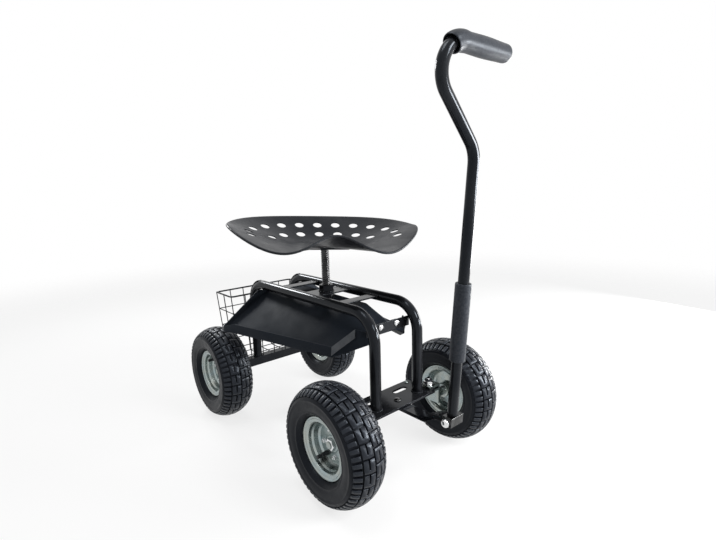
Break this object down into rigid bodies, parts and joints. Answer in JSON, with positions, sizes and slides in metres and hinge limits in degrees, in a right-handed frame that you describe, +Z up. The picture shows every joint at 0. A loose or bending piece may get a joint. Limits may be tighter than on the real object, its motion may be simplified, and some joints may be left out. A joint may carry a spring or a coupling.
{
  "type": "rolling garden seat",
  "caption": "Rolling garden work seat: swivelling tractor-style pan on a threaded post, tubular frame with tool tray and wire basket, pneumatic wheels, steered by a pull handle.",
  "frame": {"origin": "on the ground, under the middle of the overall length and on the cart's centre plane", "axes": "+X forward towards the pull handle, +Y to the left, +Z up"},
  "size_m": [0.8921, 0.4816, 0.8956],
  "materials": {
    "black_paint": "gloss black powder coat",
    "seat_paint": "satin charcoal powder coat",
    "zinc": "bright zinc plate",
    "bearing": "ground bearing steel",
    "tyre": "moulded black tyre rubber",
    "valve": "black rubber",
    "tray_plastic": "fine-grained black plastic",
    "grip": "dark grey foam"
  },
  "bodies": {
    "frame": {"rear_axle": "zinc", "rear_axle_bar": "black_paint", "rear_left_axle_nut": "zinc", "rear_right_axle_nut": "zinc", "frame_rail_left": "black_paint", "frame_rail_right": "black_paint", "front_cross_bar": "black_paint", "rear_cross_bar": "black_paint", "seat_plate": "black_paint", "seat_socket": "black_paint", "front_tray_strap": "black_paint", "rear_tray_strap": "black_paint", "tray_bolt_left": "zinc", "tray_bolt_right": "zinc", "tool_tray": "tray_plastic", "front_axle_plate": "black_paint", "steer_pivot_bolt": "zinc", "kingpin_left": "zinc", "kingpin_right": "zinc"},
    "basket": {"basket": "black_paint", "basket_hook_left": "black_paint", "basket_hook_right": "black_paint"},
    "tongue": {"tongue": "black_paint", "handle_pivot_bolt": "zinc"},
    "handle": {"handle_yoke": "zinc", "handle_tube": "black_paint", "mid_grip": "grip", "top_grip": "grip"},
    "knuckle_left": {"knuckle_left": "zinc", "front_left_axle_nut": "zinc"},
    "knuckle_right": {"knuckle_right": "zinc", "front_right_axle_nut": "zinc"},
    "tie_rod_left": {"tie_rod_left": "black_paint"},
    "tie_rod_right": {"tie_rod_right": "black_paint"},
    "wheel_front_left": {"front_left_tyre": "tyre", "front_left_rim": "zinc", "front_left_outer_bearing": "bearing", "front_left_inner_bearing": "bearing", "front_left_valve_stem": "valve"},
    "wheel_front_right": {"front_right_tyre": "tyre", "front_right_rim": "zinc", "front_right_outer_bearing": "bearing", "front_right_inner_bearing": "bearing", "front_right_valve_stem": "valve"},
    "wheel_rear_left": {"rear_left_tyre": "tyre", "rear_left_rim": "zinc", "rear_left_outer_bearing": "bearing", "rear_left_inner_bearing": "bearing", "rear_left_valve_stem": "valve"},
    "wheel_rear_right": {"rear_right_tyre": "tyre", "rear_right_rim": "zinc", "rear_right_outer_bearing": "bearing", "rear_right_inner_bearing": "bearing", "rear_right_valve_stem": "valve"},
    "post_stop": {"post_stop_washer": "zinc"},
    "seat": {"seat_pan": "seat_paint", "seat_flange": "black_paint", "seat_bolt_front": "zinc", "seat_bolt_rear": "zinc", "seat_post": "zinc"}
  },
  "joints": [
    {"name": "steer", "type": "hinge", "parent": "frame", "child": "tongue", "pos_m": [0.21693, 0, 0.155], "axis": [0, 0, 1], "range_deg": [-30, 30]},
    {"name": "knuckle_left_turn", "type": "hinge", "parent": "frame", "child": "knuckle_left", "pos_m": [0.21693, 0.11, 0.155], "axis": [0, 0, 1], "range_deg": [-31, 31]},
    {"name": "knuckle_right_turn", "type": "hinge", "parent": "frame", "child": "knuckle_right", "pos_m": [0.21693, -0.11, 0.155], "axis": [0, 0, 1], "range_deg": [-31, 31]},
    {"name": "tie_rod_left_turn", "type": "hinge", "parent": "tongue", "child": "tie_rod_left", "pos_m": [0.17893, 0.0085, 0.15], "axis": [0, 0, 1], "range_deg": [-31, 31]},
    {"name": "tie_rod_right_turn", "type": "hinge", "parent": "tongue", "child": "tie_rod_right", "pos_m": [0.17893, -0.0085, 0.15], "axis": [0, 0, 1], "range_deg": [-31, 31]},
    {"name": "handle_tilt", "type": "hinge", "parent": "tongue", "child": "handle", "pos_m": [0.37293, 0, 0.172], "axis": [0, 1, 0], "range_deg": [-15, 80]},
    {"name": "front_left_spin", "type": "hinge", "parent": "knuckle_left", "child": "wheel_front_left", "pos_m": [0.21693, 0.191, 0.13], "axis": [0, 1, 0], "continuous": true},
    {"name": "front_right_spin", "type": "hinge", "parent": "knuckle_right", "child": "wheel_front_right", "pos_m": [0.21693, -0.191, 0.13], "axis": [0, 1, 0], "continuous": true},
    {"name": "rear_left_spin", "type": "hinge", "parent": "frame", "child": "wheel_rear_left", "pos_m": [-0.31607, 0.191, 0.13], "axis": [0, 1, 0], "continuous": true},
    {"name": "rear_right_spin", "type": "hinge", "parent": "frame", "child": "wheel_rear_right", "pos_m": [-0.31607, -0.191, 0.13], "axis": [0, 1, 0], "continuous": true},
    {"name": "seat_rise", "type": "slide", "parent": "frame", "child": "post_stop", "axis": [0, 0, 1], "range_m": [-0.081, 0.051]},
    {"name": "seat_turn", "type": "hinge", "parent": "post_stop", "child": "seat", "pos_m": [-0.04157, 0, 0.4], "axis": [0, 0, 1], "range_deg": [-5760, 3600]},
    {"name": "basket_lift", "type": "slide", "parent": "frame", "child": "basket", "axis": [0, 0, 1], "range_m": [0, 0.1]}
  ],
  "couplings": [
    {"joint": "knuckle_left_turn", "follows": "steer", "ratio": 1},
    {"joint": "knuckle_right_turn", "follows": "steer", "ratio": 1},
    {"joint": "tie_rod_left_turn", "follows": "steer", "ratio": -1},
    {"joint": "tie_rod_right_turn", "follows": "steer", "ratio": -1},
    {"joint": "seat_rise", "follows": "seat_turn", "m_per_rad": 0.00079577}
  ]
}
